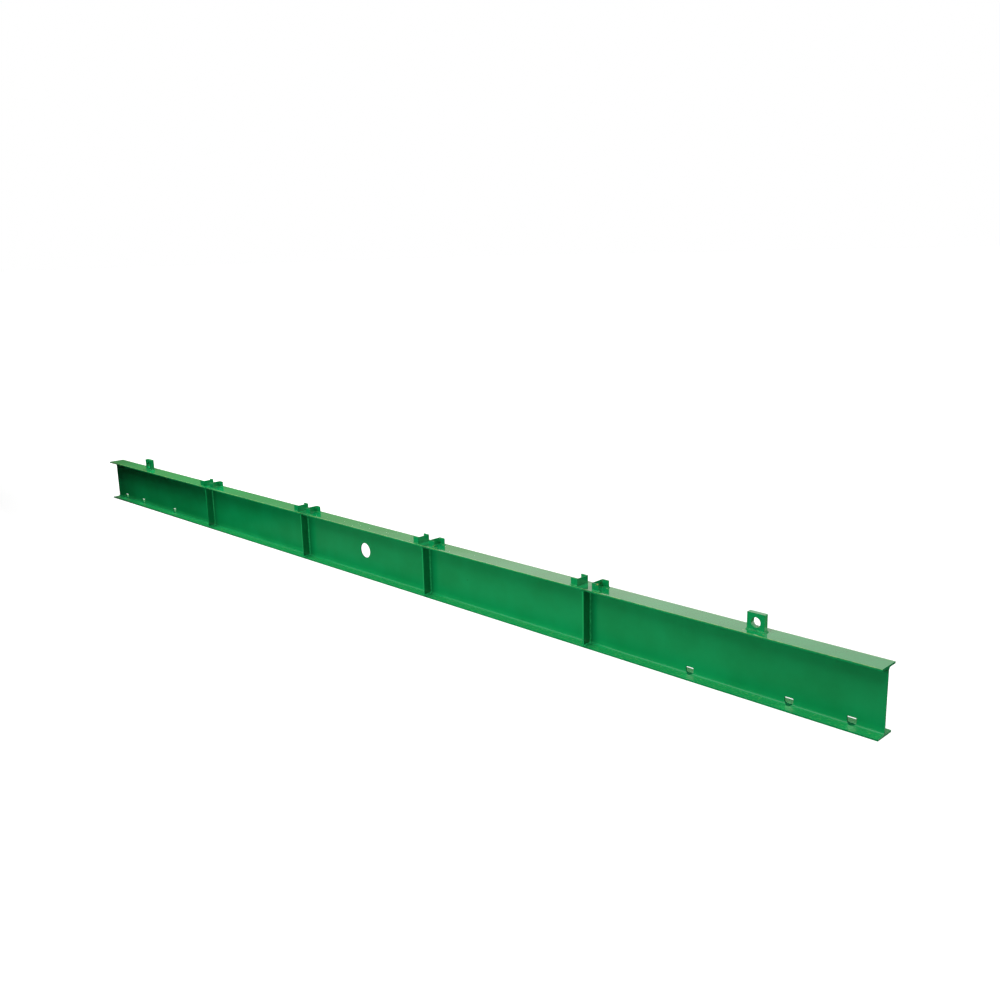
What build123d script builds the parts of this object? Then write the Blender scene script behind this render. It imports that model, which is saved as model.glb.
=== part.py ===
from build123d import *
import os

# Steel beam on its lower flange, ready painted: a rolled wide I section with web
# stiffeners, lifting lugs and pairs of channel cleats that seat cross members.
# Millimetres. X runs along the beam, Y across its flanges, Z up.
# The origin is the middle of the underside, which rests on the ground.

# rolled section
beam_length = 12000.0
section_depth = 550.0
flange_width = 210.0
flange_thickness = 17.2
web_thickness = 11.1
root_radius = 24.0
flange_edge_radius = 2.0

# large round hole in the middle of the web
web_hole_diameter = 180.0

# drain holes at the foot of the web, three near each end, rounder below than above
foot_hole_width = 75.0
foot_hole_height = 60.0
foot_hole_upper_radius = 9.0
foot_hole_lower_radius = 30.0
foot_hole_rise = 1.0
foot_hole_from_end = [252.0, 765.0, 1680.0]

# stiffeners, a plate on each side of the web at every station
station_spacing = 2160.0
station_count = 4
stiffener_thickness = 18.0
stiffener_setback = 6.0
cope_clearance = 1.5

# channel cleats, two on the top flange over every station
cleat_depth = 150.0
cleat_leg = 75.0
cleat_height = 67.0
cleat_web = 5.5
cleat_flange = 10.0
cleat_root_radius = 12.0
cleat_toe_radius = 3.0
seat_width = 168.0

# lifting lugs
lug_from_end = 1067.0
lug_width = 156.0
lug_height = 146.0
lug_thickness = 45.0
lug_hole_diameter = 84.0
lug_hole_height = 71.0
lug_corner = 3.0


def web_cut_plane(x, z):
    """A drawing plane on the web's centre plane, facing along Y."""
    return Plane(origin=(x, 0, z), x_dir=(1, 0, 0), z_dir=(0, -1, 0))


def corners_at(outline, reach):
    """The corners of a sketch that lie this far to either side of its middle."""
    return [corner for corner in outline.vertices() if abs(abs(corner.X) - reach) < 0.01]


def rolled_outline():
    """The I outline, with its root fillets and eased flange edges, drawn on the beam's end."""
    half_web = web_thickness / 2
    bay_width = (flange_width - web_thickness) / 2
    bay_depth = section_depth - 2 * flange_thickness
    with BuildSketch(Plane.YZ.offset(-beam_length / 2)) as outline:
        with Locations((0, section_depth / 2)):
            Rectangle(flange_width, section_depth)
        for side in (-1, 1):
            with Locations((side * (half_web + bay_width / 2), section_depth / 2)):
                Rectangle(bay_width, bay_depth, mode=Mode.SUBTRACT)
        fillet(corners_at(outline, half_web), root_radius)
        fillet(corners_at(outline, flange_width / 2), flange_edge_radius)
    return outline.sketch


def web_hole():
    """The round hole sits at mid-length and mid-depth."""
    with BuildPart() as cutter:
        with BuildSketch(web_cut_plane(0, section_depth / 2)):
            Circle(web_hole_diameter / 2)
        extrude(amount=flange_width / 2, both=True)
    return cutter.part


def foot_hole(end, distance):
    """A small hole through the web and its root fillets, just above the lower flange."""
    height = flange_thickness + foot_hole_rise + foot_hole_height / 2
    with BuildPart() as cutter:
        with BuildSketch(web_cut_plane(end * (beam_length / 2 - distance), height)) as outline:
            Rectangle(foot_hole_width, foot_hole_height)
            fillet(outline.vertices().group_by(Axis.Y)[0], foot_hole_lower_radius)
            fillet(outline.vertices().group_by(Axis.Y)[-1], foot_hole_upper_radius)
        extrude(amount=flange_width / 2, both=True)
    return cutter.part


def i_beam():
    """One rolled bar drawn out along X, with its holes cut through the web."""
    bar = extrude(rolled_outline(), amount=beam_length)
    bar -= web_hole()
    for end in (-1, 1):
        for distance in foot_hole_from_end:
            bar -= foot_hole(end, distance)
    return bar


def station_places():
    """Distances of the stiffener stations from mid-length."""
    first = -station_spacing * (station_count - 1) / 2
    return [first + index * station_spacing for index in range(station_count)]


def stiffener(x, side):
    """A plate fitted between the flanges, its two inner corners rounded past the root fillets."""
    inner_face = web_thickness / 2
    outer_edge = flange_width / 2 - stiffener_setback
    depth = section_depth - 2 * flange_thickness
    with BuildPart() as plate:
        with BuildSketch(Plane.YZ.offset(x - stiffener_thickness / 2)) as outline:
            with Locations((side * (inner_face + outer_edge) / 2, section_depth / 2)):
                Rectangle(outer_edge - inner_face, depth)
            fillet(corners_at(outline, inner_face), root_radius + cope_clearance)
        extrude(amount=stiffener_thickness)
    return plate.part


def cleat(x, facing):
    """A short length of channel stood on end, its back towards the seat."""
    back = x + facing * seat_width / 2
    tip = back + facing * cleat_leg
    half_depth = cleat_depth / 2
    with BuildPart() as channel:
        with BuildSketch(Plane.XY.offset(section_depth)) as outline:
            with Locations(((back + tip) / 2, 0)):
                Rectangle(cleat_leg, cleat_depth)
            hollow_start = back + facing * cleat_web
            hollow_length = cleat_leg - cleat_web
            with Locations((hollow_start + facing * hollow_length / 2, 0)):
                Rectangle(hollow_length, cleat_depth - 2 * cleat_flange, mode=Mode.SUBTRACT)
            hollow_corners = outline.vertices().filter_by_position(Axis.Y, 1 - half_depth, half_depth - 1)
            roots = hollow_corners.sort_by_distance((hollow_start, 0))[:2]
            toes = hollow_corners.sort_by_distance((hollow_start, 0))[2:]
            fillet(roots, cleat_root_radius)
            fillet(toes, cleat_toe_radius)
        extrude(amount=cleat_height)
    return channel.part


def lifting_lug(end):
    """An upright plate on the flange's centre line, with one round hole."""
    x = end * (beam_length / 2 - lug_from_end)
    with BuildPart() as lug:
        with BuildSketch(web_cut_plane(x, section_depth)) as outline:
            with Locations((0, lug_height / 2)):
                Rectangle(lug_width, lug_height)
            top_corners = outline.vertices().group_by(Axis.Y)[-1]
            fillet(top_corners, lug_corner)
            with Locations((0, lug_hole_height)):
                Circle(lug_hole_diameter / 2, mode=Mode.SUBTRACT)
        extrude(amount=lug_thickness / 2, both=True)
    return lug.part


os.makedirs("parts", exist_ok=True)

export_step(i_beam(), "parts/i_beam.step")

for number, place in enumerate(station_places(), start=1):
    export_step(stiffener(place, -1), f"parts/stiffener_front_{number}.step")
    export_step(stiffener(place, 1), f"parts/stiffener_back_{number}.step")
    export_step(cleat(place, -1), f"parts/channel_cleat_left_{number}.step")
    export_step(cleat(place, 1), f"parts/channel_cleat_right_{number}.step")

export_step(lifting_lug(-1), "parts/lifting_lug_left.step")
export_step(lifting_lug(1), "parts/lifting_lug_right.step")
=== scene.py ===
import math

import bmesh
import bpy
from mathutils import Matrix, Vector, noise


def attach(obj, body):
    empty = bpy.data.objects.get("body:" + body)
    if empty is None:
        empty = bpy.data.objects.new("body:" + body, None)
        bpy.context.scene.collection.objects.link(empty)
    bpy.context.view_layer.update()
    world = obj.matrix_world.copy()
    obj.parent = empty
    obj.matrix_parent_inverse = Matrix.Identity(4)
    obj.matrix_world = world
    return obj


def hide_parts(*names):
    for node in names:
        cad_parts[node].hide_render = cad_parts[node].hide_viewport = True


# Painted steel I-beam with stiffeners, channel cleats and lifting lugs.
# Sizes in the dictionaries are millimetres unless a note says otherwise.

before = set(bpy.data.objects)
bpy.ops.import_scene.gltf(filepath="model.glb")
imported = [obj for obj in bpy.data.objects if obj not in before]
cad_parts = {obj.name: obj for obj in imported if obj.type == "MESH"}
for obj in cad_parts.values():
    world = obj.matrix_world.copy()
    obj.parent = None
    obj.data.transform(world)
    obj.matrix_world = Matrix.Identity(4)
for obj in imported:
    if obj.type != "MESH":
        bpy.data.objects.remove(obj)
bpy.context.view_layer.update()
mm = 0.001
print("frame loaded:", len(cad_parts), "parts")


# the camera was worked out from the beam's corners in the photograph
cameraSpot = {
    "place": (9.0057, -6.8170, 3.4753),  # metres
    "right": (0.70813, 0.70566, -0.02456),
    "up": (-0.14665, 0.18101, 0.97249),
    "lens": 37.77,
    "sensor": 36.0,
    "sees": 1000,  # metres
}

camera = bpy.data.objects.new("camera", bpy.data.cameras.new("camera"))
bpy.context.scene.collection.objects.link(camera)
rightWay = Vector(cameraSpot["right"]).normalized()
backWay = rightWay.cross(Vector(cameraSpot["up"])).normalized()
upWay = backWay.cross(rightWay)
turn = Matrix((rightWay, upWay, backWay)).transposed().to_4x4()
camera.matrix_world = Matrix.Translation(cameraSpot["place"]) @ turn
camera.data.lens = cameraSpot["lens"]
camera.data.sensor_width = cameraSpot["sensor"]
camera.data.clip_end = cameraSpot["sees"]
bpy.context.scene.camera = camera
bpy.context.scene.view_settings.view_transform = "Standard"
print("camera set")


def linearColour(hexText):
    parts = [int(hexText[i:i + 2], 16) / 255 for i in (1, 3, 5)]
    return [c / 12.92 if c <= 0.04045 else ((c + 0.055) / 1.055) ** 2.4 for c in parts] + [1]


def addNode(tree, kind, inputs=None, links=None, **settings):
    node = tree.nodes.new(kind)
    for key, value in settings.items():
        setattr(node, key, value)
    for key, value in (inputs or {}).items():
        node.inputs[key].default_value = value
    for key, socket in (links or {}).items():
        tree.links.new(socket, node.inputs[key])
    return node


def emptyMaterial(name):
    material = bpy.data.materials.new(name)
    material.use_nodes = True
    material.node_tree.nodes.clear()
    return material, material.node_tree


# the rolled bar is its own mesh, so that its faces ripple a little and its edges are eased
bar = {
    "length": 12000, "depth": 550, "width": 210,
    "flange": 17.2, "web": 11.1, "root": 24.0, "edge": 2.0,
    "endEase": 1.2,  # length of the eased rim at a sawn end
    "endDraw": 0.96,  # how far that rim is drawn in
    "endRing": 2,  # a second ring close behind keeps the end's easing narrow
    "step": 30.0,  # between rings of vertices along the bar
    "edgeSteps": 2, "rootSteps": 8, "undersideSteps": 4, "flangeSteps": 5,
    "footSteps": 6, "lowSteps": 3, "highSteps": 8,  # rows of the web's grid, from the foot up
    "sway": 0.8,  # how far a face wanders off flat
    "swaySpan": (620, 260),  # between waves in the web, along and up
    "topSpan": (480, 160),  # between waves in the top, along and across
    "nick": 1.3,  # dents along the flange edges
    "nickSpan": (130, 34),  # between long dents, and between short ones
    "nickBand": 9,  # how far in from the edge they reach
    "smooth": 50,  # degrees
}
footHole = {
    "width": 75, "height": 60,
    "lower": 30, "upper": 9,  # corner radii
    "rise": 1.0,  # above the lower flange
    "fromEnd": (252, 765, 1680),
    "region": 62,  # half the length of web that is meshed round a hole
    "top": 104,  # where that patch of the web ends
    "steps": 16,
    "ease": 0.6,
    "rough": 0.7,
}
webHole = {
    "radius": 82,  # as the photograph gives it: the solids' hole has 90
    "region": 125, "rows": 20, "steps": 20,
    "ease": 1.0,
    "rough": 0.4,
}
stations = {"spacing": 2160, "count": 4, "thickness": 18, "setback": 6}

# Gloss alkyd enamel, sprayed on rolled steel: deep clean green where it mirrors the dark floor,
# pale where it mirrors the sky at a low angle, with soft clouds of thicker and thinner paint.
# Dry overspray has settled on the lower flange, so that face is lighter, duller and speckled.
enamel = {
    "green": "#0A9050",
    "deepGreen": "#078748",
    "ior": 1.5,
    "roughness": 0.08,
    "coat": 0.6,
    "coatRoughness": 0.03,
    "gloss": 0.5,  # 0.5 is the full mirror of the enamel, 0 none
    "cloudSize": 420.0,  # a patch of thicker paint
    "cloudDull": 0.08,  # how much rougher the paint is at a cloud's thin end
    "peelSize": 9.0,  # orange peel is about 3 mm, drawn three times as coarse so that it shows
    "peelBump": 0.15,
    "peelDeep": 0.6,  # height of the bumps at full strength
    "dustTop": 0,  # height above the floor that overspray reaches, 0 for none
    "dust": "#158C4A",
    "dustRoughness": 0.36,
    "dustCoat": 0.15,  # shares of the coat and the gloss that are left under dust
    "dustGloss": 0.4,
    "speck": "#6DBA66",
    "speckSize": 22.0,  # dry spray clots of 2 to 5 mm, drawn coarser so that they show
    "edgeWidth": 0,  # band beside the flange edges, drawn wider than the real 5 mm so that it shows
    "thinPaintAndHighlight": "#8CB662",  # pale yellowish on top beside the edge: a painted highlight of the lit arris, in patches of thin paint
    "thinSize": 60.0,  # length of a thin patch
    "edgeLump": "#0A5C33",  # dark dimples on the edge itself
    "lumpSize": 15.0,
    "leeShare": 0.0,
    "lee": "#06582F",  # painted shadow of each stiffener: a deeper green on the web just past it
    "paintedShadowFrom": 25.0,  # past the middle of the stiffener, where the painted shadow is full; it is gone at the value below
    "paintedShadowTo": 130.0,
    "paintedShadowEnd": 4200,  # from mid-length, no such shade beyond
    "primerShare": 0.0,  # how much of the surface shows ochre primer in spots
    "primer": "#8F8A45",
    "primerSize": 22.0,  # across a spot
    "rim": "",  # colour of painted light and shade on a plate's sides
    "rimFrom": 0.6,  # how far a face turns to the front or back where the rim paint starts
    "rimTo": 0.3,  # and where it is full: above rimFrom, it lies on the faces to front and back
    "marks": (),  # listed spots: x, y, z and radius, then the colour
    "markSize": 12.0,  # ragged edge of such a spot
}


def enamelMaterial(name, **changes):
    look = dict(enamel, **changes)
    material, tree = emptyMaterial(name)
    place = addNode(tree, "ShaderNodeTexCoord").outputs["Object"]
    normal = addNode(tree, "ShaderNodeNewGeometry").outputs["Normal"]
    facing = addNode(tree, "ShaderNodeSeparateXYZ", links={0: normal}).outputs
    where = addNode(tree, "ShaderNodeSeparateXYZ", links={0: place}).outputs

    # grains of noise: width of a feature, detail and roughness
    grains = {"cloud": (look["cloudSize"], 3, 0.55), "peel": (look["peelSize"], 2, 0.55)}
    if look["dustTop"]:
        grains["speck"] = (look["speckSize"], 4, 0.7)
    if look["edgeWidth"]:
        grains["thin"] = (look["thinSize"], 4, 0.7)
        grains["lump"] = (look["lumpSize"], 3, 0.7)
    if look["primerShare"]:
        grains["primer"] = (look["primerSize"], 3, 0.6)
    if look["marks"]:
        grains["ragged"] = (look["markSize"], 3, 0.6)
    for key, (size, detail, roughness) in grains.items():
        settings = {"Scale": 1 / (size * mm), "Detail": detail, "Roughness": roughness}
        grains[key] = addNode(
            tree, "ShaderNodeTexNoise", settings, {"Vector": place}).outputs["Fac"]

    # what is read without its sign: how far a face turns sideways, how far a point lies off centre
    plain = {}
    for key, socket, used in (
            ("sideways", facing["Y"], look["edgeWidth"] or look["rim"]),
            ("across", where["Y"], look["edgeWidth"]),
            ("along", where["X"], look["leeShare"])):
        if used:
            plain[key] = addNode(
                tree, "ShaderNodeMath", links={0: socket}, operation="ABSOLUTE").outputs[0]

    # paint over paint: colour, then ramps (what is read, start, end, top) that give its share
    layers = []
    if look["dustTop"]:
        # overspray lies on what faces up near the floor
        dustTop = look["dustTop"] * mm
        settled = [(facing["Z"], 0.82, 0.97, 1), (where["Z"], dustTop, dustTop * 0.6, 1)]
        layers.append((look["dust"], settled))
        layers.append((look["speck"], settled + [(grains["speck"], 0.56, 0.68, 0.5)]))
    if look["edgeWidth"]:
        outer, width = bar["width"] / 2 * mm, look["edgeWidth"] * mm
        beside = (plain["across"], outer - width, outer - width * 0.4, 1)
        onTop = (where["Z"], (bar["depth"] - 5) * mm, (bar["depth"] - 2) * mm, 1)
        # pale patches on top beside the flange edges: a painted highlight of the lit arris, and thin
        # paint
        layers.append((look["thinPaintAndHighlight"], [beside, onTop, (grains["thin"], 0.36, 0.60, 0.55)]))
        onEdge = (plain["sideways"], 0.7, 0.9, 1)
        layers.append((look["edgeLump"], [beside, onEdge, (grains["lump"], 0.52, 0.64, 0.7)]))
    # painted shadow of each stiffener, a deeper green on the web just past it
    if look["leeShare"]:
        # distance past the last stiffener, the same at every station
        spacing = stations["spacing"] * mm
        first = addNode(tree, "ShaderNodeMath", {1: spacing * 1.5}, {0: where["X"]}, operation="ADD")
        past = addNode(tree, "ShaderNodeMath", {1: spacing}, {0: first.outputs[0]},
                       operation="FLOORED_MODULO").outputs[0]
        shade = (past, look["paintedShadowTo"] * mm, look["paintedShadowFrom"] * mm, look["leeShare"])
        inBays = (plain["along"], (look["paintedShadowEnd"] + 100) * mm, look["paintedShadowEnd"] * mm, 1)
        layers.append((look["lee"], [shade, inBays]))
    if look["primerShare"]:
        bare = 0.72 - 0.3 * look["primerShare"]
        layers.append((look["primer"], [(grains["primer"], bare, bare + 0.08, 0.8)]))
    # painted light and shade: the rim colour on a plate's sides, between rimFrom and rimTo
    if look["rim"]:
        cutSide = (plain["sideways"], look["rimFrom"], look["rimTo"], 1)
        layers.append((look["rim"], [cutSide, (facing["Z"], 0.8, 0.5, 1)]))
    for x, y, z, radius, spot in look["marks"]:
        away = addNode(tree, "ShaderNodeVectorMath", {1: (x * mm, y * mm, z * mm)}, {0: place},
                       operation="DISTANCE").outputs["Value"]
        core = (away, radius * mm, radius * 0.3 * mm, 1)
        layers.append((spot, [core, (grains["ragged"], 0.32, 0.6, 1)]))

    cloudy = addNode(tree, "ShaderNodeMapRange", {"From Min": 0.35, "From Max": 0.65},
                     {"Value": grains["cloud"]})
    greens = {6: linearColour(look["green"]), 7: linearColour(look["deepGreen"])}
    colour = addNode(tree, "ShaderNodeMix", greens, {0: cloudy.outputs[0]}, data_type="RGBA")
    shares = []
    for over, ramps in layers:
        share = None
        for value, start, end, top in ramps:
            part = addNode(tree, "ShaderNodeMapRange",
                           {"From Min": start, "From Max": end, "To Max": top}, {"Value": value})
            if share:
                part = addNode(tree, "ShaderNodeMath",
                               links={0: share.outputs[0], 1: part.outputs[0]}, operation="MULTIPLY")
            share = part
        shares.append(share.outputs[0])
        colour = addNode(tree, "ShaderNodeMix", {7: linearColour(over)},
                         {0: shares[-1], 6: colour.outputs[2]}, data_type="RGBA")

    rough = addNode(tree, "ShaderNodeMapRange",
                    {"To Min": look["roughness"], "To Max": look["roughness"] + look["cloudDull"]},
                    {"Value": grains["cloud"]}).outputs[0]
    skin = addNode(tree, "ShaderNodeBump",
                   {"Strength": look["peelBump"], "Distance": look["peelDeep"] * mm},
                   {"Height": grains["peel"]})
    inputs = {
        "IOR": look["ior"], "Coat Weight": look["coat"],
        "Coat Roughness": look["coatRoughness"], "Specular IOR Level": look["gloss"],
    }
    links = {"Base Color": colour.outputs[2], "Roughness": rough, "Normal": skin.outputs[0]}
    if look["dustTop"]:
        # the dust is rougher and takes most of the mirror away; the plain levels stay on the
        # sockets under the links, for an export that drops a link
        links["Roughness"] = addNode(
            tree, "ShaderNodeMix", {3: look["dustRoughness"]}, {0: shares[0], 2: rough},
            data_type="FLOAT").outputs[0]
        for key, left in (("Coat Weight", look["dustCoat"]), ("Specular IOR Level", look["dustGloss"])):
            if inputs[key]:
                links[key] = addNode(
                    tree, "ShaderNodeMapRange",
                    {"To Min": inputs[key], "To Max": inputs[key] * left},
                    {"Value": shares[0]}).outputs[0]
    shader = addNode(tree, "ShaderNodeBsdfPrincipled", inputs, links)
    addNode(tree, "ShaderNodeOutputMaterial", links={"Surface": shader.outputs[0]})
    return material


barMarks = (
    (1648, -5.5, 275.5, 9, "#04301C"),  # a dark speck on the web
    (3404, 39, 550, 9, "#B9C98E"), (1262, -62, 550, 11, "#B9B36A"), (1242, 50, 550, 9, "#B9C98E"),
    (-1170, 86, 550, 12, "#A0803C"), (4850, -60, 550, 12, "#9FBF7A"), (5020, -50, 550, 9, "#B9B36A"),
)
plateMarks = (
    (3388, -70, 616, 13, "#B5953F"), (3369, -70, 602, 8, "#8F8A45"), (3330, 40, 585, 17, "#3E4A22"),
    (1225, -70, 556, 14, "#A08F3C"), (1236, -68, 575, 9, "#8F8A45"), (1180, 20, 565, 13, "#5A6A2E"),
    (-1165, 74, 560, 15, "#A0803C"),
)
barEnamel = enamelMaterial(
    "glossGreenEnamel", dustTop=100, edgeWidth=16.0, leeShare=0.55, marks=barMarks)
# the cleats mirror less, so they stay one even green
plateEnamel = enamelMaterial(
    "glossEnamelOnPlate", green="#0A8B4D", deepGreen="#078246", marks=plateMarks,
    coat=0.0, gloss=0.25)
# between the flanges the stiffeners are painted a deeper green as shade, with painted light on their
# front edges
bayEnamel = enamelMaterial(
    "enamelWithPaintedShadeInBays", green="#077A44", deepGreen="#056C3A", coat=0.3,
    rim="#159A54", rimFrom=0.6, rimTo=0.85)
# the lugs' flame-cut sides carry painted light on the right lug and painted shade on the left one
lugEnamel = enamelMaterial("enamelWithPaintedLightOnLugSides", rim="#37A862")
leftLugEnamel = enamelMaterial("enamelWithPaintedShadeOnLeftLugSides", rim="#0C7E44", coat=0.0, gloss=0.3)
# over a weld the enamel follows the ripples, and its lighter green is a painted highlight on the beads
seamEnamel = enamelMaterial(
    "enamelWithPaintedHighlightOverStiffenerWeld", green="#26A660", deepGreen="#0B8E4F", dustTop=100,
    cloudSize=26.0, peelBump=0.4, coat=0.0, gloss=0.06, roughness=0.4)
weldEnamel = enamelMaterial(
    "enamelOverWeld", green="#1E8E4E", deepGreen="#08733D", primerShare=0.15,
    cloudSize=30.0, peelBump=0.5, coat=0.0, gloss=0.3, roughness=0.3)
# torch-cut faces inside the holes: their dark green is painted shade of the deep recess, and they are
# dull
cutFace = enamelMaterial(
    "enamelWithPaintedShadeOnTorchCut", green="#0B6038", deepGreen="#08492A", dustTop=100,
    dust="#0A5531", speck="#12703F", peelSize=5.0, peelBump=0.8,
    coat=0.0, gloss=0.0, roughness=0.8)
# the sawn ends are painted a deeper green as shade, and are nearly matt
sawnEnd = enamelMaterial(
    "flatEnamelWithPaintedShadeOnSawnEnd", green="#0A7A43", deepGreen="#086B3A",
    coat=0.0, gloss=0.1, roughness=0.5)
print("paint mixed")


def arcPoints(cy, cz, radius, start, end, steps):
    turns = [math.radians(start + (end - start) * k / steps) for k in range(steps + 1)]
    return [(cy + radius * math.cos(t), cz + radius * math.sin(t)) for t in turns]


def between(start, end, steps):
    return [start + (end - start) * k / steps for k in range(steps + 1)]


def sideOfBar():
    # one side of the I outline, from the middle of the underside to the middle of the top,
    # and the first and last row of the web's patches round a foot hole and the web hole
    outer, edge, root = bar["width"] / 2, bar["edge"], bar["root"]
    foot, head = bar["flange"], bar["depth"] - bar["flange"]
    wall = bar["web"] / 2
    rootY = wall + root
    low, high = bar["depth"] / 2 - webHole["region"], bar["depth"] / 2 + webHole["region"]
    edgeSteps, rootSteps = bar["edgeSteps"], bar["rootSteps"]

    points = [(y, 0) for y in between(0, outer - edge, bar["undersideSteps"])]
    points += arcPoints(outer - edge, edge, edge, -90, 0, edgeSteps)[1:]
    points += arcPoints(outer - edge, foot - edge, edge, 0, 90, edgeSteps)
    points += [(y, foot) for y in between(outer - edge, rootY, bar["flangeSteps"])[1:]]
    rows = [len(points) - 1]
    points += arcPoints(rootY, foot + root, root, 270, 180, rootSteps)[1:]
    levels = (foot + root, footHole["top"], low, high)
    for start, end, steps in zip(
            levels, levels[1:], (bar["footSteps"], bar["lowSteps"], webHole["rows"])):
        points += [(wall, z) for z in between(start, end, steps)[1:]]
        rows.append(len(points) - 1)
    points += [(wall, z) for z in between(high, head - root, bar["highSteps"])[1:]]
    points += arcPoints(rootY, head - root, root, 180, 90, rootSteps)[1:]
    points += [(y, head) for y in between(rootY, outer - edge, bar["flangeSteps"])[1:]]
    points += arcPoints(outer - edge, head + edge, edge, 270, 360, edgeSteps)[1:]
    points += arcPoints(outer - edge, bar["depth"] - edge, edge, 0, 90, edgeSteps)
    points += [(y, bar["depth"]) for y in between(outer - edge, 0, bar["flangeSteps"])[1:]]
    return points, rows[:2], rows[2:]


def halfThickness(z):
    # distance from the web's centre plane to the bar's side surface, root fillets and all
    root, foot = bar["root"], bar["flange"]
    z = min(z, bar["depth"] - z)
    drop = min(max(foot + root - z, 0), root)
    return bar["web"] / 2 + root - math.sqrt(root * root - drop * drop)


def footHoleEdge(x, z):
    # signed distance to the hole's outline, round below and nearly square above
    halfWidth, halfHeight = footHole["width"] / 2, footHole["height"] / 2
    radius = footHole["lower"] if z < 0 else footHole["upper"]
    qx, qz = abs(x) - halfWidth + radius, abs(z) - halfHeight + radius
    return math.hypot(max(qx, 0), max(qz, 0)) + min(max(qx, qz), 0) - radius


def webHoleEdge(x, z):
    return math.hypot(x, z) - webHole["radius"]


# how every hole is cut: a torch leaves a slightly wavy outline and a scalloped wall
holeCut = {
    "rings": (0.45, 0.8, 1.0),  # of the way from the grid to the lip
    "wallLayers": 6,
    "waves": 2.2,  # how quickly the outline wavers round the hole
    "scallop": 0.6,  # share of the hole's roughness
    "scallopSteps": (0.9, 1.5),  # how quickly the wall wavers, round and through the hole
    "lipLift": 0.02,  # least height over the lower flange, at the lip and inside
    "wallLift": 0.4,
    "reach": 400,  # search range for the outline
    "tries": 28,
}


def outlineRadius(edge, angle, grow):
    low, high = 0, holeCut["reach"]
    for _ in range(holeCut["tries"]):
        reach = (low + high) / 2
        if edge(reach * math.cos(angle), reach * math.sin(angle)) < grow:
            low = reach
        else:
            high = reach
    return low


def makeHole(verts, faces, cuts, loops, centre, hole, edge):
    # a patch from the grid down to the hole on both faces of the web, then the wall between them
    waves, lips = holeCut["waves"], []
    for face, outer in loops:
        angles = [math.atan2(verts[v][2] - centre[1], verts[v][0] - centre[0]) for v in outer]
        radii = []
        for angle in angles:
            wave = Vector((math.cos(angle) * waves, math.sin(angle) * waves, centre[0]))
            radii.append(outlineRadius(edge, angle, hole["ease"]) + hole["rough"] * noise.noise(wave))
        previous = outer
        for share in holeCut["rings"]:
            current = []
            for v, angle, radius in zip(outer, angles, radii):
                x = verts[v][0] + share * (centre[0] + radius * math.cos(angle) - verts[v][0])
                z = verts[v][2] + share * (centre[1] + radius * math.sin(angle) - verts[v][2])
                z = max(z, bar["flange"] + holeCut["lipLift"])
                verts.append((x, face * halfThickness(z), z))
                current.append(len(verts) - 1)
            for a in range(len(outer)):
                b = (a + 1) % len(outer)
                quad = (previous[a], previous[b], current[b], current[a])
                faces.append(quad if face < 0 else quad[::-1])
            previous = current
        lips.append(previous)

    front, back = lips
    roundStep, throughStep = holeCut["scallopSteps"]
    walls = [front]
    for layer in range(holeCut["wallLayers"]):
        share = layer / (holeCut["wallLayers"] - 1) * 2 - 1
        current = []
        for a, v in enumerate(front):
            angle = math.atan2(verts[v][2] - centre[1], verts[v][0] - centre[0])
            wave = Vector((a * roundStep, share * throughStep, centre[0] + 5))
            scallop = hole["rough"] * holeCut["scallop"] * noise.noise(wave)
            radius = outlineRadius(edge, angle, 0) + scallop
            x = centre[0] + radius * math.cos(angle)
            z = max(centre[1] + radius * math.sin(angle), bar["flange"] + holeCut["wallLift"])
            verts.append((x, share * (halfThickness(z) - hole["ease"]), z))
            current.append(len(verts) - 1)
        walls.append(current)
    walls.append(back)
    for before, after in zip(walls, walls[1:]):
        for a in range(len(front)):
            b = (a + 1) % len(front)
            faces.append((before[a], before[b], after[b], after[a]))
            cuts.append(len(faces) - 1)


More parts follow.
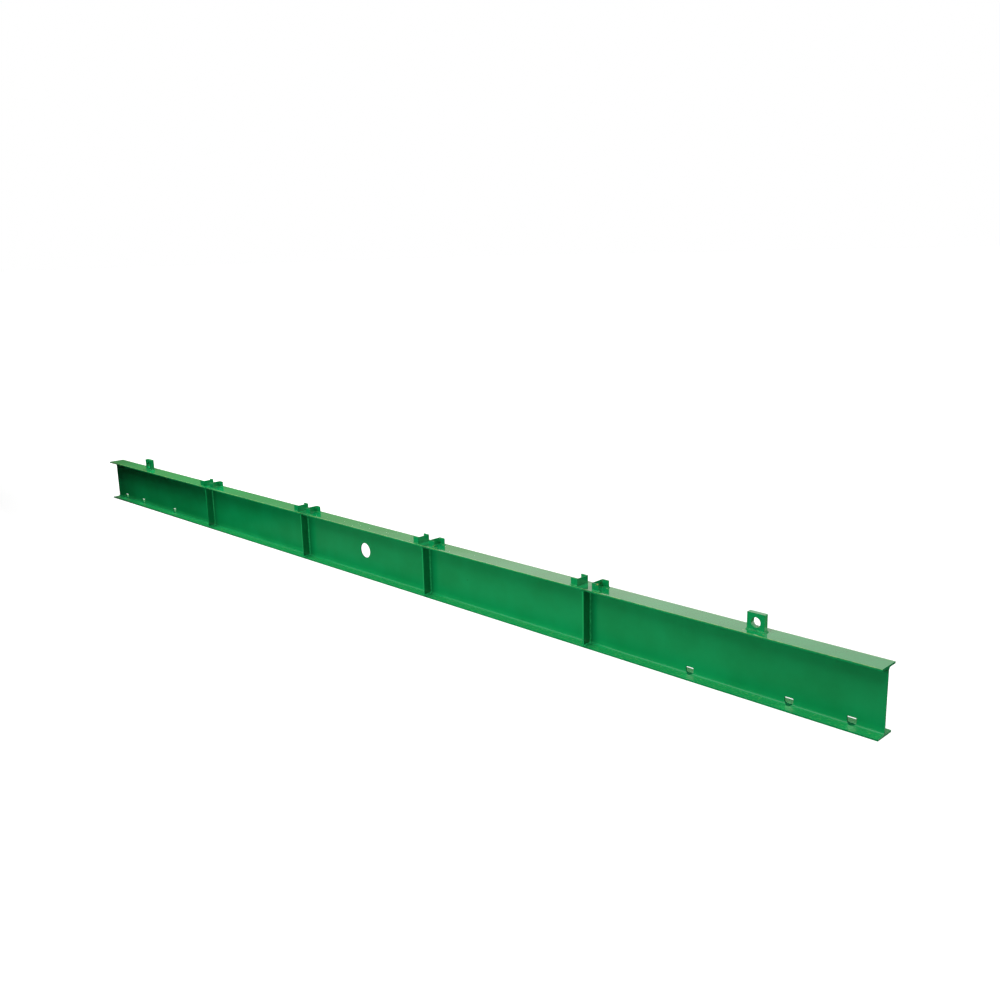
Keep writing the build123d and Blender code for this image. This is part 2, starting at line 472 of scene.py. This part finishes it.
def makeBar():
    half, footRows, webRows = sideOfBar()
    outline = [(-y, z) for y, z in half] + [(y, z) for y, z in half[-2:0:-1]]
    count = len(outline)  # vertices in one ring round the bar
    ends, middle = bar["length"] / 2, bar["depth"] / 2

    footMiddle = bar["flange"] + footHole["rise"] + footHole["height"] / 2
    holes = [(end * (ends - gap), footMiddle, footHole, footHoleEdge, footRows)
             for end in (-1, 1) for gap in footHole["fromEnd"]]
    holes.append((0, middle, webHole, webHoleEdge, webRows))
    holes.sort(key=lambda entry: entry[0])

    # rings of vertices: even steps along the bar, closer ones past each hole
    reached = -ends + bar["endEase"] + bar["endRing"]
    columns, firstColumns = [-ends + bar["endEase"], reached], []
    for x, _, hole, _, _ in holes:
        start, stop = x - hole["region"], x + hole["region"]
        columns += between(reached, start, max(1, round((start - reached) / bar["step"])))[1:]
        firstColumns.append(len(columns) - 1)
        columns += between(start, stop, hole["steps"])[1:]
        reached = stop
    last = ends - bar["endEase"] - bar["endRing"]
    columns += between(reached, last, max(1, round((last - reached) / bar["step"])))[1:]
    columns.append(ends - bar["endEase"])
    verts = [(x, y, z) for x in columns for y, z in outline]
    faces, cuts = [], []  # cuts: the faces inside the holes

    def ring(i, j):
        return i * count + j % count

    gaps = set()
    for (_, _, hole, _, rows), first in zip(holes, firstColumns):
        for i in range(first, first + hole["steps"]):
            for j in range(*rows):
                gaps.update(((i, j), (i, count - j - 1)))
    for i in range(len(columns) - 1):
        for j in range(count):
            if (i, j) not in gaps:
                faces.append((ring(i, j), ring(i, j + 1), ring(i + 1, j + 1), ring(i + 1, j)))
    for (x, z, hole, edge, (low, high)), first in zip(holes, firstColumns):
        last = first + hole["steps"]
        border = [(i, low) for i in range(first, last)] + [(last, j) for j in range(low, high)]
        border += [(i, high) for i in range(last, first, -1)]
        border += [(first, j) for j in range(high, low, -1)]
        loops = [(face, [ring(i, j if face < 0 else count - j) for i, j in border])
                 for face in (-1, 1)]
        makeHole(verts, faces, cuts, loops, (x, z), hole, edge)

    # the ends: an eased rim, then the sawn face
    for end, column in ((-1, 0), (1, len(columns) - 1)):
        rim = []
        for j in range(count):
            before, after = Vector(outline[j - 1]), Vector(outline[(j + 1) % count])
            along = (after - before).normalized()
            drawn = Vector(outline[j]) + Vector((along.y, -along.x)) * bar["endDraw"]
            rim.append(len(verts))
            verts.append((end * ends, drawn.x, drawn.y))
        for j in range(count):
            quad = (ring(column, j), ring(column, j + 1), rim[(j + 1) % count], rim[j])
            faces.append(quad if end > 0 else quad[::-1])
        faces.append(tuple(rim) if end > 0 else tuple(rim[::-1]))
    return verts, faces, cuts


def smoothByAngle(piece, degrees):
    for face in piece.data.polygons:
        face.use_smooth = True
    piece.data.set_sharp_from_angle(angle=math.radians(degrees))


def addPiece(name, verts, faces, material):
    mesh = bpy.data.meshes.new(name)
    mesh.from_pydata([tuple(value * mm for value in v) for v in verts], [], faces)
    shell = bmesh.new()
    shell.from_mesh(mesh)
    bmesh.ops.recalc_face_normals(shell, faces=shell.faces)
    shell.to_mesh(mesh)
    shell.free()
    mesh.materials.append(material)
    piece = bpy.data.objects.new(name, mesh)
    bpy.context.scene.collection.objects.link(piece)
    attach(piece, "root")
    return piece


def swayed(point):
    # rolled faces are never quite flat, and the flange edges carry small dents
    x, y, z = point
    alongWeb, upWeb = bar["swaySpan"]
    alongTop, acrossTop = bar["topSpan"]
    longDent, shortDent = bar["nickSpan"]
    top, tip = bar["depth"] - bar["flange"] - 1, bar["width"] / 2 - bar["nickBand"]
    if abs(y) < bar["web"] and bar["flange"] < z < top:
        y += bar["sway"] * noise.noise(Vector((x / alongWeb, z / upWeb, 3.1)))
    if z > top:
        wave = noise.noise(Vector((x / alongTop, y / acrossTop, 7.7)))
        z -= bar["sway"] * 0.6 * abs(wave)
    if abs(y) > tip:
        dent = noise.noise(Vector((x / longDent, y, z * 0.08)))
        dent += 0.25 * noise.noise(Vector((x / shortDent, y, z * 0.1)))
        y *= 1 - bar["nick"] * max(0, dent) / abs(y)
    return x, y, z


verts, faces, cuts = makeBar()
beam = addPiece("rolledBar", [swayed(v) for v in verts], faces, barEnamel)
beam.data.materials.append(cutFace)
beam.data.materials.append(sawnEnd)
for index in cuts:
    beam.data.polygons[index].material_index = 1
for face in beam.data.polygons:
    if abs(face.center.x) > (bar["length"] / 2 - 0.1) * mm:
        face.material_index = 2
smoothByAngle(beam, bar["smooth"])
flat = beam.modifiers.new("flatFacesStayFlat", "WEIGHTED_NORMAL")
flat.keep_sharp = True
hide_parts("i_beam")
print("rolled bar:", len(faces), "faces")


# weld beads: a rounded fillet with the welder's ripples, laid in every inside corner
cleat = {"depth": 150, "leg": 75, "web": 5.5, "flange": 10, "root": 12, "seat": 168}
lug = {"fromEnd": 1067, "width": 156, "thickness": 45}
weld = {
    "ripple": 11.0,  # ripples are about 4 mm apart, drawn coarser so that they show
    "rippleDeep": 0.14,  # share of the bead's size
    "lump": 0.22,  # how unevenly the bead swells
    "lumpSpan": (23, 9),  # between long swellings, and between short ones
    "driftSpan": 40,  # over which the ripples change their spacing
    "leanSpan": 31,  # over which the bead leans to one face or the other
    "stiffenerLeg": 11.0,
    "cleatLeg": 8.0,
    "lugLeg": 12.0,
    "lugRipple": 17.0,
    "lugLump": 0.5,
    "flatness": 0.20,  # 0 is a quarter round
    "step": 3.5,
    "turnStep": 0.35,  # radians, where the bead turns a corner
    "leastStep": 0.12,  # of the leg
    "sides": 6,
    "buried": 0.4,  # how far the toes dip under the plates
    "taper": 1.5,  # legs of length in which an open end thins out
    "tip": 0.35,  # what is left of the size there
    "smooth": 70,  # degrees
}


def beadPoints(path, leg, closed):
    # even steps along the path, with more of them where it turns
    points = []
    for (a, ua, va), (b, ub, vb) in zip(path, path[1:] + path[:1] if closed else path[1:]):
        turned = ua.angle(ub, 0) + va.angle(vb, 0)
        steps = max(1, round((b - a).length / weld["step"]), round(turned / weld["turnStep"]))
        for k in range(steps):
            t = k / steps
            points.append((a.lerp(b, t), ua.lerp(ub, t).normalized(), va.lerp(vb, t).normalized()))
    if not closed:
        points.append(path[-1])
    travelled = [0]
    for before, after in zip(points, points[1:]):
        stride = max((after[0] - before[0]).length, leg * weld["leastStep"])
        travelled.append(travelled[-1] + stride)
    return points, travelled


def weldBead(name, path, leg, seed, material, closed=False,
             ripple=weld["ripple"], lump=weld["lump"]):
    # path: (corner point, direction along one face, direction along the other)
    points, travelled = beadPoints(path, leg, closed)
    verts, faces = [], []
    sides = weld["sides"]
    longSwell, shortSwell = weld["lumpSpan"]
    for (point, u, v), along in zip(points, travelled):
        drift = 0.8 * noise.noise(Vector((along / weld["driftSpan"], seed, 2)))
        wave = abs(math.sin(math.pi * along / ripple + drift))
        swell = 1 + lump * noise.noise(Vector((along / longSwell, seed, 0)))
        swell += 0.5 * lump * noise.noise(Vector((along / shortSwell, seed, 4)))
        size = leg * swell * (1 - weld["rippleDeep"] + weld["rippleDeep"] * wave)
        lean = 1 + lump * 0.7 * noise.noise(Vector((along / weld["leanSpan"], seed, 9)))
        if not closed:
            fromEnd = min(along, travelled[-1] - along)
            size *= min(1, weld["tip"] + fromEnd / (weld["taper"] * leg))
        verts.append(tuple(point - (u + v) * 2 * weld["buried"]))
        for k in range(sides + 1):
            turn = math.radians(90 * k / sides)
            full = 1 - weld["flatness"] + weld["flatness"] * abs(math.cos(2 * turn))
            rise = u * (lean * math.cos(turn)) + v * (math.sin(turn) / lean)
            sunk = {0: v, sides: u}.get(k, Vector())
            verts.append(tuple(point + rise * size * full - sunk * weld["buried"]))
    width = sides + 2
    count = len(points)
    for index in range(count if closed else count - 1):
        here, there = index * width, (index + 1) % count * width
        for k in range(width):
            nextK = (k + 1) % width
            faces.append((here + k, here + nextK, there + nextK, there + k))
    if not closed:
        faces.append(tuple(range(width)))
        faces.append(tuple((count - 1) * width + k for k in range(width))[::-1])
    smoothByAngle(addPiece(name, verts, faces, material), weld["smooth"])


def stiffenerPath(x, facing, side):
    # along the lower flange, round the root fillets, up the web and out along the upper flange
    outer = bar["width"] / 2 - stations["setback"] - 2
    root, foot, head = bar["root"], bar["flange"], bar["depth"] - bar["flange"]
    rootY = bar["web"] / 2 + root
    along = Vector((facing, 0, 0))
    path = [(Vector((x, side * outer, foot)), along, Vector((0, 0, 1)))]
    for first, last, centre, way in ((0, 90, foot + root, 1), (90, 0, head - root, -1)):
        for turn in between(first, last, 6):
            t = math.radians(turn)
            y, z = rootY - root * math.sin(t), centre - way * root * math.cos(t)
            outward = Vector((0, side * math.sin(t), way * math.cos(t)))
            path.append((Vector((x, side * y, z)), along, outward))
    path.append((Vector((x, side * outer, head)), along, Vector((0, 0, -1))))
    return path


def cleatPath(station, facing):
    # from the back edge of the front leg, round both toes and through the channel's inside
    back = station + facing * cleat["seat"] / 2
    toe = back + facing * cleat["leg"]
    inner = back + facing * cleat["web"]
    bend = inner + facing * cleat["root"]
    half, root = cleat["depth"] / 2, cleat["root"]
    thin = half - cleat["flange"]
    corners = [
        (back, -half, 0, -1), (toe, -half, 0, -1), (toe, -half, facing, 0),
        (toe, -thin, facing, 0), (toe, -thin, 0, 1), (bend, -thin, 0, 1),
        (inner, -thin + root, facing, 0), (inner, thin - root, facing, 0),
        (bend, thin, 0, -1), (toe, thin, 0, -1), (toe, thin, facing, 0),
        (toe, half, facing, 0), (toe, half, 0, 1), (back, half, 0, 1),
    ]
    return [(Vector((x, y, bar["depth"])), Vector((u, v, 0)), Vector((0, 0, 1)))
            for x, y, u, v in corners]


def lugPath(middle):
    half, deep = lug["width"] / 2, lug["thickness"] / 2
    corners = [
        (-half, -deep, 0, -1), (half, -deep, 0, -1), (half, -deep, 1, 0), (half, deep, 1, 0),
        (half, deep, 0, 1), (-half, deep, 0, 1), (-half, deep, -1, 0), (-half, -deep, -1, 0),
    ]
    return [(Vector((middle + x, y, bar["depth"])), Vector((u, v, 0)), Vector((0, 0, 1)))
            for x, y, u, v in corners]


firstStation = -stations["spacing"] * (stations["count"] - 1) / 2
for number in range(1, stations["count"] + 1):
    station = firstStation + (number - 1) * stations["spacing"]
    for side, sideName in ((-1, "front"), (1, "back")):
        for facing, facingName in ((-1, "left"), (1, "right")):
            path = stiffenerPath(station + facing * stations["thickness"] / 2, facing, side)
            weldBead(f"stiffenerWeld_{sideName}_{facingName}_{number}", path,
                     weld["stiffenerLeg"], number * 3.7 + side + facing * 0.4, seamEnamel)
    weldBead(f"cleatWeld_left_{number}", cleatPath(station, -1),
             weld["cleatLeg"], number * 5.1, weldEnamel)
    weldBead(f"cleatWeld_right_{number}", cleatPath(station, 1),
             weld["cleatLeg"], number * 6.3, weldEnamel)
for end, endName in ((-1, "left"), (1, "right")):
    path = lugPath(end * (bar["length"] / 2 - lug["fromEnd"]))
    weldBead(f"lugWeld_{endName}", path, weld["lugLeg"], 40 + end, weldEnamel, True,
             weld["lugRipple"], weld["lugLump"])
print("welds laid")


# plates keep their own solids, with eased edges
plates = {
    "ease": 1.3,
    "lugEase": 2.0,
    "segments": 2,
    "sharpFrom": 50,  # degrees
    "joinWithin": 0.01,
}
platePaints = (
    ("stiffener", bayEnamel), ("lifting_lug_left", leftLugEnamel), ("lifting_lug", lugEnamel),
    ("", plateEnamel),  # all others
)

for name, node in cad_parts.items():
    if name != "i_beam":
        joined = node.modifiers.new("joined", "WELD")
        joined.merge_threshold = plates["joinWithin"] * mm
        eased = node.modifiers.new("eased", "BEVEL")
        eased.width = plates["lugEase" if "lug" in name else "ease"] * mm
        eased.segments = plates["segments"]
        eased.limit_method = "ANGLE"
        eased.angle_limit = math.radians(plates["sharpFrom"])
        eased.harden_normals = True
    node.data.materials.clear()
    node.data.materials.append(next(paint for start, paint in platePaints if name.startswith(start)))
print("plates eased and painted")


# a pale floor and soft lamps, in metres: levels are the share of a white card's full brightness
studio = {
    "floorSize": 400.0,
    "floorSeen": "#969694",
    "floorLift": 0.90,
    "floorUnseen": "#8C8C8A",
    "skyLevel": 0.15,
    "mirroredSky": (  # height on the far back card, and the colour there
        (0, "#45402A"), (10.7, "#59553C"), (11.5, "#795A3F"), (13, "#688656"), (15.2, "#95AA7C"),
        (17, "#B8BCA0"), (18.3, "#CED0B5"), (19.4, "#F1E9E1"), (21, "#FFF4ED"), (28, "#EEEEE4"),
        (50, "#D2D8CC"),
    ),
    "haze": "#35553C",
    "hazeClears": (36.0, 54.0),  # from the one height to the other
    "flagGrey": 0.02,
    "floorCards": {  # from and to along the beam, then across it, just clear of the flanges
        "frontCard": (-11, 9, -0.1055, -3.2),
        "backCard": (-11, 9, 0.1055, 3.2),
        "leftCard": (-11, -6.003, -0.1055, 0.1055),
    },
    "floorCardLift": 0.0015,
    "velvet": (  # brightness of these cards: what is read, from, to, and the levels there
        ("along", -3.2, -1.6, 0.004, 0.075),  # deepest at the left end
        ("across", 0.12, 0.42, 0.0, 1.0),  # black beside the beam
        ("across", 0.75, 1.4, 1.0, 0.2),  # darker again farther out, for the top of the web
    ),
    "uprightCards": {  # where a card stands on the floor, from and to, and its height
        "farBackCard": ((-76.5, -2), (0, 100), 60.0),
        "farFrontCard": ((-77.7, 1), (-10, -75), 72.0),
        "endCard": ((-8.5, -1.0), (-8.5, 0.5), 3.0),
        "leftFlag": ((-12, -1.6), (-2.7, -1.6), 2.2),
        "endFlag": ((-9, -0.6), (-5.75, -0.6), 2.6),
    },
}


def addStage(name, corners, material, rays=("camera", "diffuse", "glossy", "transmission", "shadow")):
    mesh = bpy.data.meshes.new(name)
    mesh.from_pydata(corners, [], [(0, 1, 2, 3)])
    mesh.materials.append(material)
    card = bpy.data.objects.new(name, mesh)
    bpy.context.scene.collection.objects.link(card)
    for kind in ("camera", "diffuse", "glossy", "transmission", "shadow"):
        setattr(card, "visible_" + kind, kind in rays)


def addUpright(name, material, rays):
    start, end, height = studio["uprightCards"][name]
    addStage(name, [(*start, 0), (*end, 0), (*end, height), (*start, height)], material, rays)


def seenWhite(tree):
    # 1 for rays from the eye, straight or through gloss and glass
    rays = addNode(tree, "ShaderNodeLightPath").outputs
    seen = rays["Is Camera Ray"]
    for kind in ("Is Glossy Ray", "Is Transmission Ray"):
        seen = addNode(tree, "ShaderNodeMath", links={0: seen, 1: rays[kind]},
                       operation="MAXIMUM").outputs[0]
    return seen


floorMaterial, tree = emptyMaterial("paleStudioFloor")
unseen = addNode(tree, "ShaderNodeBsdfDiffuse", {"Color": linearColour(studio["floorUnseen"])})
seen = addNode(tree, "ShaderNodeBsdfDiffuse", {"Color": linearColour(studio["floorSeen"])})
lift = addNode(tree, "ShaderNodeEmission", {"Strength": studio["floorLift"]})
lifted = addNode(tree, "ShaderNodeAddShader", links={0: seen.outputs[0], 1: lift.outputs[0]})
mixed = addNode(tree, "ShaderNodeMixShader", links={
    0: seenWhite(tree), 1: unseen.outputs[0], 2: lifted.outputs[0]})
addNode(tree, "ShaderNodeOutputMaterial", links={"Surface": mixed.outputs[0]})
reach = studio["floorSize"]
addStage("floor", [(-reach, -reach, 0), (reach, -reach, 0), (reach, reach, 0), (-reach, reach, 0)],
         floorMaterial)

world = bpy.data.worlds.new("softStudio")
bpy.context.scene.world = world
world.use_nodes = True
tree = world.node_tree
tree.nodes.clear()
level = addNode(tree, "ShaderNodeMapRange", {"To Min": studio["skyLevel"], "To Max": 1.0},
                {"Value": seenWhite(tree)})
background = addNode(tree, "ShaderNodeBackground", {"Color": (1, 1, 1, 1)},
                     {"Strength": level.outputs[0]})
addNode(tree, "ShaderNodeOutputWorld", links={"Surface": background.outputs[0]})

# dark cards round glossy paint: on the floor, where the upright faces mirror them, and upright
# past the left end. They are least dark where the middle and right of the web mirror them.
velvetCard, tree = emptyMaterial("blackVelvetCard")
position = addNode(tree, "ShaderNodeNewGeometry").outputs["Position"]
where = addNode(tree, "ShaderNodeSeparateXYZ", links={0: position}).outputs
across = addNode(tree, "ShaderNodeMath", links={0: where["Y"]}, operation="ABSOLUTE").outputs[0]
strength = None
for reads, start, end, low, high in studio["velvet"]:
    part = addNode(tree, "ShaderNodeMapRange",
                   {"From Min": start, "From Max": end, "To Min": low, "To Max": high},
                   {"Value": across if reads == "across" else where["X"]})
    if strength:
        part = addNode(tree, "ShaderNodeMath",
                       links={0: strength.outputs[0], 1: part.outputs[0]}, operation="MULTIPLY")
    strength = part
velvet = addNode(tree, "ShaderNodeEmission", links={"Strength": strength.outputs[0]})
addNode(tree, "ShaderNodeOutputMaterial", links={"Surface": velvet.outputs[0]})
raised = studio["floorCardLift"]
for name, (start, end, near, far) in studio["floorCards"].items():
    corners = [(start, near, raised), (end, near, raised), (end, far, raised), (start, far, raised)]
    addStage(name, corners, velvetCard, ("glossy",))

# far off to the left, where the flanges mirror it at a low angle: dark low down, bright sky above
skyCard, tree = emptyMaterial("farSkyGradient")
position = addNode(tree, "ShaderNodeNewGeometry").outputs["Position"]
height = addNode(tree, "ShaderNodeSeparateXYZ", links={0: position}).outputs["Z"]
skyTop = studio["uprightCards"]["farBackCard"][2]
upShare = addNode(tree, "ShaderNodeMapRange", {"From Max": skyTop}, {"Value": height})
shades = addNode(tree, "ShaderNodeValToRGB", links={0: upShare.outputs[0]})
stops = shades.color_ramp.elements
for index, (metres, shade) in enumerate(studio["mirroredSky"]):
    stop = stops[index] if index < 2 else stops.new(1)
    stop.position, stop.color = metres / skyTop, linearColour(shade)
sky = addNode(tree, "ShaderNodeEmission", links={"Color": shades.outputs[0]})
addNode(tree, "ShaderNodeOutputMaterial", links={"Surface": sky.outputs[0]})
addUpright("farBackCard", skyCard, ("glossy",))
addUpright("endCard", velvetCard, ("glossy",))

# beside it on the near side, a dark green haze that clears higher up
hazeCard, tree = emptyMaterial("farDarkGradient")
position = addNode(tree, "ShaderNodeNewGeometry").outputs["Position"]
height = addNode(tree, "ShaderNodeSeparateXYZ", links={0: position}).outputs["Z"]
hazeTop, clearFrom = studio["hazeClears"]
clear = addNode(tree, "ShaderNodeMapRange", {"From Min": hazeTop, "From Max": clearFrom},
                {"Value": height})
haze = addNode(tree, "ShaderNodeEmission", {"Color": linearColour(studio["haze"])})
glass = addNode(tree, "ShaderNodeBsdfTransparent")
fade = addNode(tree, "ShaderNodeMixShader", links={
    0: clear.outputs[0], 1: haze.outputs[0], 2: glass.outputs[0]})
addNode(tree, "ShaderNodeOutputMaterial", links={"Surface": fade.outputs[0]})
addUpright("farFrontCard", hazeCard, ("glossy",))

# two dark flags keep the front lamps off the beam's left end
flagCard, tree = emptyMaterial("greyFlagCard")
grey = addNode(tree, "ShaderNodeBsdfDiffuse", {"Color": (*[studio["flagGrey"]] * 3, 1)})
addNode(tree, "ShaderNodeOutputMaterial", links={"Surface": grey.outputs[0]})
for name in ("leftFlag", "endFlag"):
    addUpright(name, flagCard, ("diffuse", "shadow"))

# soft lamps, none of which shows in the paint's mirror: places in metres, spread in degrees
lamps = {
    "steepLight": {"kind": "SUN", "power": 2.45, "place": (-0.05, -0.40, 0.92), "spread": 40},
    "rightLight": {"kind": "SUN", "power": 1.5, "place": (0.87, 0.45, 0.20), "spread": 50},
    "frontSoftbox": {
        "kind": "AREA", "power": 235, "size": (8.0, 2.5),
        "place": (1.8, -5.6, 2.2), "aim": (1.6, 0.0, 0.3)},
    "leftStrip": {
        "kind": "AREA", "power": 36, "size": (3.0, 0.3),
        "place": (-4.15, -0.85, 2.6), "aim": (-4.15, -0.07, 0.1)},
    "backSoftbox": {
        "kind": "AREA", "power": 360, "size": (4.0, 2.0),
        "place": (-5.5, 4.0, 3.2), "aim": (-4.0, 0.0, 0.5)},
    "lowBackStrip": {  # kept below the top flange, to reach the far side's foot
        "kind": "AREA", "power": 11, "size": (5.6, 0.3), "spread": 70,
        "place": (3.2, 1.1, 0.45), "aim": (3.2, 0.06, 0.02)},
}

for name, lamp in lamps.items():
    light = bpy.data.objects.new(name, bpy.data.lights.new(name, lamp["kind"]))
    bpy.context.scene.collection.objects.link(light)
    light.data.energy = lamp["power"]
    spread = math.radians(lamp.get("spread", 180))
    if lamp["kind"] == "SUN":
        light.data.angle = spread
    else:
        light.data.shape = "RECTANGLE"
        light.data.size, light.data.size_y = lamp["size"]
        light.data.spread = spread
    light.location = lamp["place"]
    light.rotation_mode = "QUATERNION"
    away = Vector(lamp["place"]) - Vector(lamp.get("aim", (0, 0, 0)))
    light.rotation_quaternion = away.to_track_quat("Z", "Y")
    light.visible_camera = False
    light.visible_glossy = False
print("floor and light set")
